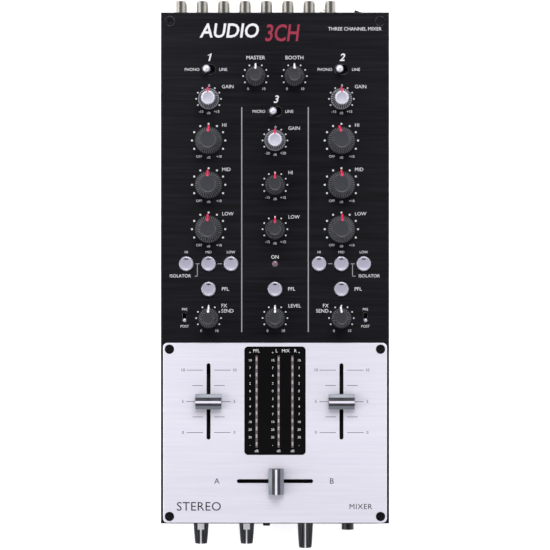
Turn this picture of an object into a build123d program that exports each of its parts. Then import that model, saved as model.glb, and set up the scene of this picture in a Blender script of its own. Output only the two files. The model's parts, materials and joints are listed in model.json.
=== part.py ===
from build123d import *
import os

# A slim three-channel DJ mixer, in millimetres: +X right, +Y to the rear, +Z up, feet on Z = 0.
# Places in X and Y are given from the centre of the top panel. That centre stands PANEL_Y behind the
# frame's origin, because the front knobs reach further out than the rear sockets do.

# Casing
PANEL_W = 158.5
PANEL_L = 355.0
PANEL_T = 2.5
PANEL_Y = 6.0
FEET_H = 8.0
TRAY_W = 155.5
TRAY_L = 352.0
TRAY_H = 62.0
WALL = 1.2
LIP_W = 8.0
PANEL_LOW = FEET_H + TRAY_H
PANEL_TOP = PANEL_LOW + PANEL_T
PLATE_W = 155.3
PLATE_L = 124.7
PLATE_T = 2.0
PLATE_Y = -114.35
PLATE_TOP = PANEL_TOP + PLATE_T
FRONT = -TRAY_L / 2
REAR = TRAY_L / 2

# Columns and rows of the controls
CHANNEL_X = 46.1
OUTPUT_X = 13.5
PITCH_ROWS = {"gain": 117.4, "high": 88.5, "mid": 57.7, "low": 26.9, "send": -34.8}
THIRD_ROWS = {"gain": 88.5, "high": 57.7, "low": 26.9, "level": -34.8}
OUTPUT_Y = 133.2
TOGGLE_Y = 137.9
THIRD_TOGGLE_Y = 108.7
CUT_Y = 2.9
CUT_PITCH = 15.5
CUE_Y = -14.7
SEND_POINT_X = 62.8
SEND_POINT_Y = -34.4

# Knobs: skirt radius, body radius at the skirt and near the top, top face radius, height, rib width
LARGE = (9.6, 8.5, 6.6, 5.4, 15.0, 1.4)
SMALL = (7.2, 6.2, 5.0, 4.0, 14.0, 1.2)
GAIN = (7.3, 6.5, 5.1, 3.7, 14.0, 1.2)
PHONES = (5.6, 5.5, 4.4, 3.6, 17.0, 1.0)
CURVE = (7.0, 5.6, 4.6, 3.8, 20.0, 1.0)
SKIRT_T = 2.4
NOSE = 0.8
KNOB_GAP = 0.5
FRONT_KNOB_GAP = 2.5
RECESS_R = 5.0
RECESS_T = 2.3
SHAFT_R = 3.0
SHAFT_FIT = 0.1
BUSHING_R = 3.5
BUSHING_T = 2.0
NUT_FLATS = 8.0
NUT_T = 1.6
POT_W = 9.5
POT_L = 11.0
POT_T = 7.0
BOARD_T = 1.6
BOARD_LOW = PANEL_LOW - POT_T - BOARD_T

# Buttons and levers
BUTTON_R = 4.9
BUTTON_RISE = 2.0
BUTTON_GAP = 0.3
TOGGLE_BALL_R = 2.7
TOGGLE_REACH = 12.0
TOGGLE_TILT = 6.7
TOGGLE_PIVOT = PANEL_TOP - 6.0
TOGGLE_HOLE = (9.6, 6.9)
NUB_R = 1.1
NUB_THROW = 1.9
NUB_SLOT = (6.8, 2.8)

# Faders
FADER_Y = -92.6
CROSS_Y = -147.9
CROSS_REST_X = 0.8
FADER_SLOT = (53.0, 2.8)
CAP_L = 18.1
CAP_W = 10.5
CAP_GAP = 2.0
CAP_H = 8.5
RIDGE_W = 1.8

# Meter
METER_Y = -92.1
METER_SIZE = (42.6, 75.3)
METER_GAP = 0.15
BAR_XS = (-12.8, 2.5, 12.1)
BAR_Y = -92.7
BAR_L = 64.0
BAR_W = 1.5

# Front face
FRONT_Z = 34.0
FRONT_KNOBS = {"phones_level": -52.5, "phones_mix": -20.1, "fader_curve": 21.5}
REVERSE_X = -6.0
REVERSE_THROW = 4.0
PHONES_X = 51.6

# Rear face
PHONO_XS = [-66.0 + 15.0 * i for i in range(8)]
PHONO_Z = 48.0
PHONO_PITCH = 15.0
PHONO_R = 4.15
PHONO_L = 9.0
PHONO_PLATE_T = 2.0
JACK_XS = (-60.0, -36.0, -12.0)
JACK_Z = 22.3
JACK_R = 3.2
JACK_DEEP = 30.0
JACK_BUSH = (4.5, 3.0)
PHONES_BUSH = (4.3, 9.8)
EARTH_X = 36.0
INLET_X = 62.0
INLET_Z = 28.0
ROCKER_Z = 57.0
ROCKER_TILT = 10.0
ROCKER_PIVOT = 1.5

# Screws and feet. FIT is the usual clearance round a fixing.
FIT = 0.2
SCREW_R = 3.2
SCREW_SINK = 1.7
SHANK_R = 1.5
PANEL_SCREWS = [(-73.0, 171.5), (73.0, 171.5)]
PLATE_SCREWS = [(x, y) for x in (-73.2, 73.2) for y in (-56.4, -172.4)]
FOOT_PLACES = [(x, y) for x in (-60.0, 60.0) for y in (-150.0, 150.0)]
FOOT_R = 9.0


def column(radius, low, high, x=0.0, y=0.0):
    """A round column standing between two heights."""
    upright = Cylinder(radius, high - low, align=(Align.CENTER, Align.CENTER, Align.MIN))
    return Pos(x, y, low) * upright


def block(width, length, low, high, x=0.0, y=0.0):
    """A square-cornered block standing between two heights."""
    upright = Box(width, length, high - low, align=(Align.CENTER, Align.CENTER, Align.MIN))
    return Pos(x, y, low) * upright


def prism(sketch, low, high, x=0.0, y=0.0):
    """A flat outline raised between two heights."""
    return Pos(x, y, low) * extrude(sketch, high - low)


def obround(length, width, low, high, x, y, turn=90.0):
    """A round-ended slot, along Y unless it is turned to 0."""
    return prism(Rot(0, 0, turn) * SlotOverall(length, width), low, high, x, y)


def hexagon(flats, low, high, x=0.0, y=0.0):
    """A hexagonal column measured across its flats."""
    return prism(RegularPolygon(flats / 2, 6, major_radius=False), low, high, x, y)


def countersink(x, y, top, depth):
    """The hole of one countersunk screw, through everything down to a depth."""
    head = Pos(x, y, top - SCREW_SINK) * Cone(
        SHANK_R + FIT, SCREW_R + FIT, SCREW_SINK, align=(Align.CENTER, Align.CENTER, Align.MIN)
    )
    return head + column(SHANK_R + FIT, top - depth, top, x, y)


def group(solids):
    """Several separate solids kept in one node."""
    return Compound(children=solids)


def save(node, shape):
    """Writes one node, moved from panel places into the part's frame."""
    placed = Pos(0, PANEL_Y, 0) * shape
    placed.label = node
    export_step(placed, f"parts/{node}.step")


def facing_front(x, z):
    """Turns a shape built upright so that it points out of the front wall."""
    return Pos(x, FRONT, z) * Rot(90, 0, 0)


def facing_rear(x, z):
    """Turns a shape built upright so that it points out of the rear wall."""
    return Pos(x, REAR, z) * Rot(-90, 0, 0)


# Places of every control, worked out from the rows and columns
def knob_places():
    """Every top knob: its size and its place."""
    places = {"master": (SMALL, -OUTPUT_X, OUTPUT_Y), "booth": (SMALL, OUTPUT_X, OUTPUT_Y)}
    sizes = {"gain": GAIN, "high": LARGE, "mid": LARGE, "low": LARGE, "send": SMALL}
    for number, x in ((1, -CHANNEL_X), (2, CHANNEL_X)):
        for row, y in PITCH_ROWS.items():
            places[f"{row}_{number}"] = (sizes[row], x, y)
    for row, y in THIRD_ROWS.items():
        places[f"{row}_3"] = (GAIN if row == "gain" else SMALL, 0.0, y)
    return places


def button_places():
    """Every push button: three cuts for each outer channel and one cue for each channel."""
    places = {"cue_1": (-CHANNEL_X, CUE_Y), "cue_2": (CHANNEL_X, CUE_Y), "cue_3": (0.0, CUE_Y)}
    for number, x in ((1, -CHANNEL_X), (2, CHANNEL_X)):
        for step, band in enumerate(("high", "mid", "low")):
            places[f"cut_{band}_{number}"] = (x + (step - 1) * CUT_PITCH, CUT_Y)
    return places


TOGGLES = {1: (-CHANNEL_X, TOGGLE_Y), 2: (CHANNEL_X, TOGGLE_Y), 3: (0.0, THIRD_TOGGLE_Y)}
SEND_POINTS = {1: (-SEND_POINT_X, SEND_POINT_Y), 2: (SEND_POINT_X, SEND_POINT_Y)}
REVERSE_CENTRE_X = REVERSE_X + REVERSE_THROW / 2
POINTER_TURN = {
    "gain_1": -4.0,
    "mid_1": -4.0,
    "low_1": -4.0,
    "high_2": -8.0,
    "low_2": 3.0,
    "send_2": -3.0,
}


# Casing
def base_tray():
    """A steel channel, floor and two sides, with a lip along each side that the panel is screwed to."""
    long = TRAY_L - 2 * WALL
    tray = block(TRAY_W, long, FEET_H, PANEL_LOW)
    tray = fillet(tray.edges().filter_by(Axis.Y).group_by(Axis.Z)[0], 1.0)
    tray -= block(TRAY_W - 2 * WALL, long, FEET_H + WALL, PANEL_LOW)
    lip_x = TRAY_W / 2 - WALL - LIP_W / 2
    for side in (-1, 1):
        tray += block(LIP_W + 0.2, long, PANEL_LOW - WALL, PANEL_LOW, side * lip_x)
    tray += [column(3.0, FEET_H + WALL, FEET_H + WALL + 4.0, x, y) for x, y in spacer_places()]
    screws = PANEL_SCREWS + PLATE_SCREWS
    holes = [column(SHANK_R + 0.1, PANEL_LOW - 3.0, PANEL_LOW, x, y) for x, y in screws]
    holes += [column(SHANK_R + 0.3, FEET_H, FEET_H + WALL, x, y) for x, y in FOOT_PLACES]
    return tray - holes


def end_wall(y):
    """A blank wall that closes one end of the channel."""
    wall = block(TRAY_W, WALL, FEET_H, PANEL_LOW, 0.0, y)
    return fillet(wall.edges().filter_by(Axis.Z), WALL / 3)


def front_wall():
    """The front wall with the holes of the headphone controls."""
    holes = [facing_front(x, FRONT_Z) * column(BUSHING_R + FIT, -WALL, 0) for x in FRONT_KNOBS.values()]
    holes.append(facing_front(REVERSE_CENTRE_X, FRONT_Z) * block(9.8, 4.2, -WALL, 0))
    holes.append(facing_front(PHONES_X, FRONT_Z) * column(PHONES_BUSH[0] + FIT, -WALL, 0))
    return end_wall(FRONT + WALL / 2) - holes


def rear_wall():
    """The rear wall with the holes of the sockets, the earth post, the inlet and the mains switch."""
    holes = [facing_rear(x, JACK_Z) * column(JACK_BUSH[0] + FIT, -WALL, 0) for x in JACK_XS]
    for x in PHONO_XS:
        for side in (-0.5, 0.5):
            holes.append(facing_rear(x, PHONO_Z + side * PHONO_PITCH) * column(PHONO_R + 0.4, -WALL, 0))
    holes.append(facing_rear(EARTH_X, JACK_Z) * column(2.3, -WALL, 0))
    holes.append(facing_rear(INLET_X, INLET_Z) * block(20.4, 27.4, -WALL, 0))
    holes.append(facing_rear(INLET_X, ROCKER_Z) * block(19.4, 13.4, -WALL, 0))
    return end_wall(REAR - WALL / 2) - holes


def spacer_places():
    """Pressed studs on the tray floor that carry the supply board and the jack board."""
    supply = [(x, y) for x in (12.0, 68.0) for y in (82.0, 136.0)]
    jacks = [(x, y) for x in (-48.0, -24.0) for y in (148.0, 168.0)]
    return supply + jacks


def top_panel():
    """The black panel with a hole for every control, countersunk where its own screws pass."""
    panel = block(PANEL_W, PANEL_L, PANEL_LOW, PANEL_TOP)
    panel = chamfer(panel.faces().sort_by(Axis.Z)[-1].edges(), 0.4)
    low = PANEL_LOW - 1.0
    high = PANEL_TOP + 1.0
    holes = [column(BUSHING_R + FIT, low, high, x, y) for _, x, y in knob_places().values()]
    holes += [column(BUTTON_R + BUTTON_GAP, low, high, x, y) for x, y in button_places().values()]
    holes += [obround(*TOGGLE_HOLE, low, high, x, y, 0.0) for x, y in TOGGLES.values()]
    holes += [obround(*NUB_SLOT, low, high, x, y) for x, y in SEND_POINTS.values()]
    holes += [countersink(x, y, PANEL_TOP, 4.0) for x, y in PANEL_SCREWS]
    holes += [column(SHANK_R + FIT, low, high, x, y) for x, y in PLATE_SCREWS]
    holes.append(column(2.15, low, high, 0.0, CUT_Y))
    fader_l, fader_w = FADER_SLOT
    holes += [obround(fader_l + 1, fader_w + 1, low, high, x, FADER_Y) for x in (-CHANNEL_X, CHANNEL_X)]
    holes.append(obround(fader_l + 1, fader_w + 1, low, high, 0.0, CROSS_Y, 0.0))
    holes += [block(4.4, BAR_L + 3.0, low, high, x, BAR_Y) for x in BAR_XS]
    return panel - holes


def fader_plate():
    """The silver plate over the faders, with a window for the meter."""
    outline = RectangleRounded(PLATE_W, PLATE_L, 3.0)
    plate = prism(outline, PANEL_TOP, PLATE_TOP, 0.0, PLATE_Y)
    plate = chamfer(plate.faces().sort_by(Axis.Z)[-1].edges(), 0.5)
    low = PANEL_TOP - 1.0
    high = PLATE_TOP + 1.0
    holes = [obround(*FADER_SLOT, low, high, x, FADER_Y) for x in (-CHANNEL_X, CHANNEL_X)]
    holes.append(obround(*FADER_SLOT, low, high, 0.0, CROSS_Y, 0.0))
    holes.append(prism(RectangleRounded(*METER_SIZE, 2.7), low, high, 0.0, METER_Y))
    holes += [countersink(x, y, PLATE_TOP, 4.0) for x, y in PLATE_SCREWS]
    return plate - holes


def meter_window():
    """The glossy black meter window, with a slot over each column of lamps."""
    wide, long = METER_SIZE
    outline = RectangleRounded(wide - 2 * METER_GAP, long - 2 * METER_GAP, 2.55)
    window = prism(outline, PANEL_TOP, PLATE_TOP - 0.2, 0.0, METER_Y)
    slots = [block(BAR_W + 0.4, BAR_L + 0.4, PANEL_TOP, PLATE_TOP, x, BAR_Y) for x in BAR_XS]
    return window - slots


def meter_lamps():
    """The meter board with its three columns of lamps standing up through the panel."""
    board = block(40.0, 72.0, BOARD_LOW, BOARD_LOW + BOARD_T, 0.0, METER_Y)
    for x in BAR_XS:
        board += block(3.6, BAR_L + 2.0, BOARD_LOW + BOARD_T, PANEL_TOP - 0.2, x, BAR_Y)
        board += block(BAR_W, BAR_L, PANEL_TOP - 0.2, PLATE_TOP - 0.6, x, BAR_Y)
    return board


def screw(x, y, top, shank):
    """One countersunk screw with a cross recess."""
    head = Pos(x, y, top - SCREW_SINK) * Cone(
        SHANK_R, SCREW_R, SCREW_SINK, align=(Align.CENTER, Align.CENTER, Align.MIN)
    )
    body = head + column(SHANK_R, top - shank, top - SCREW_SINK, x, y)
    cross = block(3.6, 0.8, top - 0.9, top, x, y) + block(0.8, 3.6, top - 0.9, top, x, y)
    return body - cross


def panel_screws():
    """Two screws of the panel and four of the plate."""
    upper = [screw(x, y, PANEL_TOP - 0.05, 5.0) for x, y in PANEL_SCREWS]
    lower = [screw(x, y, PLATE_TOP - 0.05, 7.0) for x, y in PLATE_SCREWS]
    return group(upper + lower)


def rubber_feet():
    """Four round feet, hollowed underneath for their screws."""
    feet = []
    for x, y in FOOT_PLACES:
        foot = Pos(x, y, 0) * Cone(
            FOOT_R - 0.8, FOOT_R, FEET_H, align=(Align.CENTER, Align.CENTER, Align.MIN)
        )
        foot -= column(4.2, 0.0, 4.0, x, y)
        foot -= column(SHANK_R + 0.3, 4.0, FEET_H, x, y)
        feet.append(foot)
    return group(feet)


def tray_screws():
    """The screws that hold the feet, and one between the two sockets of each phono column."""
    screws = []
    for x, y in FOOT_PLACES:
        head = column(3.2, 2.0, 3.9, x, y)
        screws.append(head + column(SHANK_R, 3.9, 12.0, x, y))
    for x in PHONO_XS:
        head = column(2.0, PHONO_PLATE_T, PHONO_PLATE_T + 1.3)
        head -= block(2.6, 0.6, PHONO_PLATE_T + 0.7, PHONO_PLATE_T + 1.3)
        screws.append(facing_rear(x, PHONO_Z) * head)
    return group(screws)


# Knobs and their pots
def knob_profile(size, gap):
    """The outline of one knob from its axis outwards: a skirt, a tapered body and a dished top."""
    skirt, low_body, high_body, face, tall, _ = size
    top = gap + tall
    with BuildSketch(Plane.XZ) as outline:
        with BuildLine():
            Polyline(
                (0, gap + RECESS_T),
                (RECESS_R, gap + RECESS_T),
                (RECESS_R, gap),
                (skirt, gap),
                (skirt, gap + 1.0),
                (low_body + 0.3, gap + SKIRT_T),
                (low_body, gap + SKIRT_T),
                (high_body, top - 1.3),
                (face + 0.4, top),
                (face, top),
                (face - 0.6, top - 0.5),
                (0, top - 0.7),
                close=True,
            )
        make_face()
    return outline.sketch


def pointer(size, gap):
    """The raised rib that runs from the edge of the top face down over the skirt, to a short nose."""
    skirt, low_body, high_body, face, tall, wide = size
    top = gap + tall
    with BuildSketch(Plane.YZ) as outline:
        with BuildLine():
            Polyline(
                (face, top - 2.0),
                (face, top + 0.1),
                (face + 0.5, top + 0.1),
                (high_body + 0.6, top - 1.2),
                (low_body + 0.5, gap + SKIRT_T + 0.3),
                (skirt + NOSE, gap + 1.3),
                (skirt + NOSE, gap + 0.5),
                (low_body - 0.5, gap + 0.5),
                close=True,
            )
        make_face()
    return extrude(outline.sketch, wide / 2, both=True)


def knob(size, gap=KNOB_GAP, wall=PANEL_T):
    """One knob with its shaft, upright on Z = 0, which is the outer face of the wall it stands on."""
    body = revolve(knob_profile(size, gap), Axis.Z)
    body += pointer(size, gap)
    return body + column(SHAFT_R, -wall - 3.5, gap + RECESS_T)


def pot(wall):
    """One pot under a wall: its case, and a bushing that comes out through the wall."""
    case = block(POT_W, POT_L, -wall - POT_T, -wall)
    case += column(BUSHING_R, -wall, BUSHING_T)
    return case - column(SHAFT_R + SHAFT_FIT, -wall - 4.0, BUSHING_T)


def pot_nut():
    """The nut that clamps a bushing to the wall."""
    return hexagon(NUT_FLATS, 0, NUT_T) - column(BUSHING_R + 0.05, 0, NUT_T)


def pot_sites():
    """Where each pot stands: the upright ones of the panel and the three of the front wall."""
    upright = [(Pos(x, y, PANEL_TOP), PANEL_T) for _, x, y in knob_places().values()]
    front = [(facing_front(x, FRONT_Z), WALL) for x in FRONT_KNOBS.values()]
    return upright + front


# Buttons, levers and what they work
def button(x, y):
    """One push button: cap, retaining flange under the panel and plunger."""
    cap = column(BUTTON_R, PANEL_LOW - 0.6, PANEL_TOP + BUTTON_RISE, x, y)
    cap = fillet(cap.faces().sort_by(Axis.Z)[-1].edges(), 0.5)
    cap += column(BUTTON_R + 0.9, PANEL_LOW - 1.4, PANEL_LOW - 0.6, x, y)
    return cap + block(3.0, 3.0, PANEL_LOW - 2.5, PANEL_LOW - 1.4, x, y)


def source_lever(x, y):
    """A ball-ended toggle lever, thrown to the left at rest."""
    stem = Cone(1.1, 1.5, TOGGLE_REACH, align=(Align.CENTER, Align.CENTER, Align.MIN))
    lever = stem + Sphere(1.7) + Pos(0, 0, TOGGLE_REACH) * Sphere(TOGGLE_BALL_R)
    return Pos(x, y, TOGGLE_PIVOT) * Rot(0, -TOGGLE_TILT, 0) * lever


def send_point_lever(x, y):
    """A small round nub, thrown to the front at rest, with a shoe inside its switch."""
    throw_y = y - NUB_THROW
    nub = column(NUB_R, PANEL_LOW - 4.0, PANEL_TOP + 1.6, x, throw_y)
    nub = fillet(nub.faces().sort_by(Axis.Z)[-1].edges(), 0.5)
    return nub + block(2.6, 2.6, PANEL_LOW - 4.6, PANEL_LOW - 3.6, x, throw_y)


def reverse_lever():
    """The small lever on the front, thrown to the left at rest."""
    lever = facing_front(REVERSE_X, FRONT_Z) * block(5.0, 3.4, -4.5, 7.0)
    return fillet(lever.faces().sort_by(Axis.Y)[0].edges(), 0.8)


def switch_bodies():
    """The switches under the buttons, the three toggles, the two send switches and the front lever."""
    floor = BOARD_LOW + BOARD_T
    bodies = [block(8.0, 8.0, floor, PANEL_LOW - 4.0, x, y) for x, y in button_places().values()]
    for x, y in TOGGLES.values():
        body = block(14.0, 8.4, floor, PANEL_LOW, x, y)
        bodies.append(body - obround(*TOGGLE_HOLE, TOGGLE_PIVOT - 2.4, PANEL_LOW, x, y, 0.0))
    for x, y in SEND_POINTS.values():
        body = block(5.0, 10.0, floor, PANEL_LOW - 1.5, x, y)
        bodies.append(body - block(3.4, 7.6, PANEL_LOW - 5.0, PANEL_LOW - 1.5, x, y))
    body = block(14.0, 8.0, -7.6, -WALL) - block(9.8, 4.2, -6.0, -WALL)
    bodies.append(facing_front(REVERSE_CENTRE_X, FRONT_Z) * body)
    return group(bodies)


def power_lamp():
    """The round lamp in the middle of the panel."""
    lens = column(2.0, BOARD_LOW + BOARD_T, PANEL_TOP + 0.4, 0.0, CUT_Y)
    lens = fillet(lens.faces().sort_by(Axis.Z)[-1].edges(), 1.0)
    return lens


# Faders
def cap_profile():
    """The end outline of a fader cap: two hollow flanks that rise to a narrow ridge."""
    low = PLATE_TOP + CAP_GAP
    high = low + CAP_H
    half = CAP_W / 2
    with BuildSketch(Plane.YZ) as outline:
        with BuildLine():
            Polyline((-RIDGE_W / 2, high), (RIDGE_W / 2, high))
            ThreePointArc((RIDGE_W / 2, high), (half * 0.38, low + 4.2), (half, low + 2.0))
            Polyline((half, low + 2.0), (half, low), (-half, low), (-half, low + 2.0))
            ThreePointArc((-half, low + 2.0), (-half * 0.38, low + 4.2), (-RIDGE_W / 2, high))
        make_face()
    return outline.sketch


def fader_cap():
    """One fader cap, whose slot runs along Y, with its stem down into the fader."""
    cap = extrude(cap_profile(), CAP_L / 2, both=True)
    return cap + block(1.2, 5.0, PANEL_LOW - 4.0, PLATE_TOP + CAP_GAP + 1.0)


def fader_bodies():
    """The three fader cases under the panel, each with a slot for the stem."""
    case = block(12.0, 66.0, PANEL_LOW - 9.0, PANEL_LOW)
    case -= block(5.0, 56.0, PANEL_LOW - 7.0, PANEL_LOW - 1.5)
    case -= block(2.4, 53.0, PANEL_LOW - 1.5, PANEL_LOW)
    upright = [Pos(x, FADER_Y, 0) * case for x in (-CHANNEL_X, CHANNEL_X)]
    return group(upright + [Pos(0, CROSS_Y, 0) * Rot(0, 0, 90) * case])


# Boards and supply
def circuit_boards():
    """The control board, the phono board behind the rear wall, the jack board and the front board."""
    control = prism(RectangleRounded(140.0, 200.0, 4.0), BOARD_LOW, BOARD_LOW + BOARD_T, 0.0, 54.0)
    phono = facing_rear(-13.5, PHONO_Z) * block(120.0, 24.0, -12.8, -11.2)
    jack_low = FEET_H + WALL + 4.0
    jacks = block(66.0, 30.0, jack_low, jack_low + BOARD_T, -36.0, 158.0)
    front = facing_front(-18.0, FRONT_Z) * block(100.0, 30.0, -9.8, -8.2)
    return group([control, phono, jacks, front])


def power_supply():
    """The supply board with its transformer and two reservoir capacitors."""
    low = FEET_H + WALL + 4.0
    deck = low + BOARD_T
    board = block(66.0, 62.0, low, deck, 40.0, 109.0)
    board += block(36.0, 42.0, deck, deck + 30.0, 50.0, 110.0)
    board += block(28.0, 50.0, deck, deck + 22.0, 50.0, 110.0)
    for y in (96.0, 114.0):
        board += column(6.5, deck, deck + 25.0, 20.0, y)
    return board


# Rear and front sockets
def phono_column():
    """Two phono sockets one above the other in a common body."""
    body = block(13.0, 28.0, 0.0, PHONO_PLATE_T)
    body += block(12.0, 26.0, -11.2, -WALL)
    end = PHONO_PLATE_T + PHONO_L
    for y in (-PHONO_PITCH / 2, PHONO_PITCH / 2):
        body += column(PHONO_R, -WALL, end, 0.0, y)
        ring = column(3.5, PHONO_PLATE_T + 1.0, end, 0.0, y) - column(2.6, 0.0, end, 0.0, y)
        body -= ring
        body -= column(1.6, PHONO_PLATE_T, end, 0.0, y)
        body -= column(2.7, end - 1.5, end, 0.0, y)
    return body


def phono_sockets():
    """Eight columns of phono sockets across the rear wall."""
    return group([facing_rear(x, PHONO_Z) * phono_column() for x in PHONO_XS])


def jack(bush_r, bush_l, body_deep):
    """A jack socket upright on the wall's outer face, and the nut round its bush."""
    body = column(bush_r, -WALL, bush_l) + block(15.0, 15.0, -WALL - body_deep, -WALL)
    body -= column(JACK_R, bush_l - JACK_DEEP, bush_l)
    nut = hexagon(13.0, 0.0, 2.0) - column(bush_r + 0.05, 0.0, 2.0)
    return [body, nut]


def jack_sockets():
    """Three jack sockets on the rear wall and the headphone socket on its long bush in front."""
    solids = []
    for x in JACK_XS:
        solids += [facing_rear(x, JACK_Z) * piece for piece in jack(*JACK_BUSH, JACK_DEEP)]
    front = jack(*PHONES_BUSH, JACK_DEEP - 6.0)
    return group(solids + [facing_front(PHONES_X, FRONT_Z) * piece for piece in front])


def earth_post():
    """A turntable earth post: a threaded stud with a knurled thumb nut."""
    post = column(2.0, -6.0, 9.0) + column(4.5, 1.5, 7.5) + column(3.6, 0.0, 1.5)
    return facing_rear(EARTH_X, JACK_Z) * post


def mains_inlet():
    """A mains inlet: flange, body, hollow mouth and its three pins."""
    inlet = prism(RectangleRounded(24.0, 31.0, 2.0), 0.0, 2.0)
    inlet += block(20.0, 27.0, -17.0, 0.0)
    inlet -= prism(RectangleRounded(17.0, 24.0, 1.5), -14.5, 2.0)
    for x, y in ((0.0, 0.0), (-4.0, 7.0), (-4.0, -7.0)):
        inlet += block(2.0, 4.0, -14.5, -3.0, x, y)
    return facing_rear(INLET_X, INLET_Z) * inlet


def rocker_frame():
    """The frame of the mains switch."""
    frame = prism(RectangleRounded(21.5, 15.5, 1.0), 0.0, 2.0)
    frame += block(19.0, 13.0, -15.0, 0.0)
    frame -= block(16.6, 11.0, -9.0, 2.0)
    return facing_rear(INLET_X, ROCKER_Z) * frame


def power_rocker():
    """The rocker of the mains switch, with its left end up at rest."""
    with BuildSketch() as outline:
        with BuildLine():
            Polyline((-7.2, -3.0), (7.2, -3.0), (7.2, 4.6), (0, 3.4), (-7.2, 4.6), close=True)
        make_face()
    rocker = Pos(0, 0, -5.2) * extrude(outline.sketch, 10.4)
    return Pos(INLET_X, REAR - ROCKER_PIVOT, ROCKER_Z) * Rot(0, 0, -ROCKER_TILT) * rocker


os.makedirs("parts", exist_ok=True)
save("base_tray", base_tray())
save("front_wall", front_wall())
save("rear_wall", rear_wall())
save("top_panel", top_panel())
save("fader_plate", fader_plate())
save("meter_window", meter_window())
save("meter_lamps", meter_lamps())
save("panel_screws", panel_screws())
save("rubber_feet", rubber_feet())
save("tray_screws", tray_screws())
save("pot_bodies", group([place * pot(wall) for place, wall in pot_sites()]))
save("pot_nuts", group([place * pot_nut() for place, _ in pot_sites()]))
save("switch_bodies", switch_bodies())
save("power_lamp", power_lamp())
save("fader_bodies", fader_bodies())
save("circuit_boards", circuit_boards())
save("power_supply", power_supply())
save("phono_sockets", phono_sockets())
save("jack_sockets", jack_sockets())
save("earth_post", earth_post())
save("mains_inlet", mains_inlet())
save("rocker_frame", rocker_frame())
save("power_rocker", power_rocker())
for name, (size, x, y) in knob_places().items():
    turn = Rot(0, 0, -POINTER_TURN.get(name, 0.0))
    save(f"knob_{name}", Pos(x, y, PANEL_TOP) * turn * knob(size))
for name, x in FRONT_KNOBS.items():
    size = CURVE if name == "fader_curve" else PHONES
    save(f"knob_{name}", facing_front(x, FRONT_Z) * knob(size, FRONT_KNOB_GAP, WALL))
for name, (x, y) in button_places().items():
    save(f"button_{name}", button(x, y))
for number, (x, y) in TOGGLES.items():
    save(f"lever_source_{number}", source_lever(x, y))
for number, (x, y) in SEND_POINTS.items():
    save(f"lever_send_point_{number}", send_point_lever(x, y))
save("lever_reverse", reverse_lever())
for number, x in ((1, -CHANNEL_X), (2, CHANNEL_X)):
    save(f"fader_cap_{number}", Pos(x, FADER_Y, 0) * fader_cap())
save("crossfader_cap", Pos(CROSS_REST_X, CROSS_Y, 0) * Rot(0, 0, 90) * fader_cap())
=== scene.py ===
import json
import math

import bmesh
import bpy
from mathutils import Matrix, Vector


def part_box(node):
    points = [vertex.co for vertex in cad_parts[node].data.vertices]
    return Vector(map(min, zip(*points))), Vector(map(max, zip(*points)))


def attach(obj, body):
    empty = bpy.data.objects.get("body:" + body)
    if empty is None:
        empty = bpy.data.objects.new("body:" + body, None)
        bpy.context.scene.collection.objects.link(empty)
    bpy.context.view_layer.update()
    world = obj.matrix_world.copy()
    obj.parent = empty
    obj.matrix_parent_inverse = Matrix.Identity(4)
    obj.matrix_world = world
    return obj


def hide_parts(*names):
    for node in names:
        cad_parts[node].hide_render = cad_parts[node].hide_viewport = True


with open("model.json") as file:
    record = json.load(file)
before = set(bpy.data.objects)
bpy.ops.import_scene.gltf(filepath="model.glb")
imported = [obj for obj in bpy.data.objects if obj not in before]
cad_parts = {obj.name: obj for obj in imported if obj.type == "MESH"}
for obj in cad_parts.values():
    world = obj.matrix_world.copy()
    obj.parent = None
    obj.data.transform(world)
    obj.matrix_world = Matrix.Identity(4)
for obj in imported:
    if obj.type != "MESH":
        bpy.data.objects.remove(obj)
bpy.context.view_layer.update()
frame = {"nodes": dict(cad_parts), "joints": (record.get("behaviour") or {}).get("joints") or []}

# The camera looks straight down on the control surface through a long lens, from a little in front of
# the panel's middle. Places on the panel are given in millimetres from that middle.
MM = 0.001
panel_low, panel_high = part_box("top_panel")
panel_x = (panel_low.x + panel_high.x) / 2
panel_y = (panel_low.y + panel_high.y) / 2
panel_z = panel_high.z
lens = bpy.data.cameras.new("studio_camera")
lens.lens = 154.6
lens.sensor_width = 36
camera = bpy.data.objects.new("studio_camera", lens)
camera.location = (panel_x, panel_y - 4.9 * MM, panel_z + 1.64)
bpy.context.scene.collection.objects.link(camera)
bpy.context.scene.camera = camera


# The studio: a pale sweep under the mixer, one broad soft lamp over the far end, a smaller one to the
# left, and a pale sky that darkens overhead, so that the black metal has little to reflect.
def tone(code):
    """A colour written the way a swatch book writes it, as the linear values a shader takes."""
    parts = [int(code[i : i + 2], 16) / 255 for i in (0, 2, 4)]
    return (*(p / 12.92 if p <= 0.04045 else ((p + 0.055) / 1.055) ** 2.4 for p in parts), 1.0)


def finish_named(name):
    """A new material with its node tree and its Principled shader."""
    material = bpy.data.materials.new(name)
    material.use_nodes = True
    return material, material.node_tree, material.node_tree.nodes["Principled BSDF"]


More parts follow.
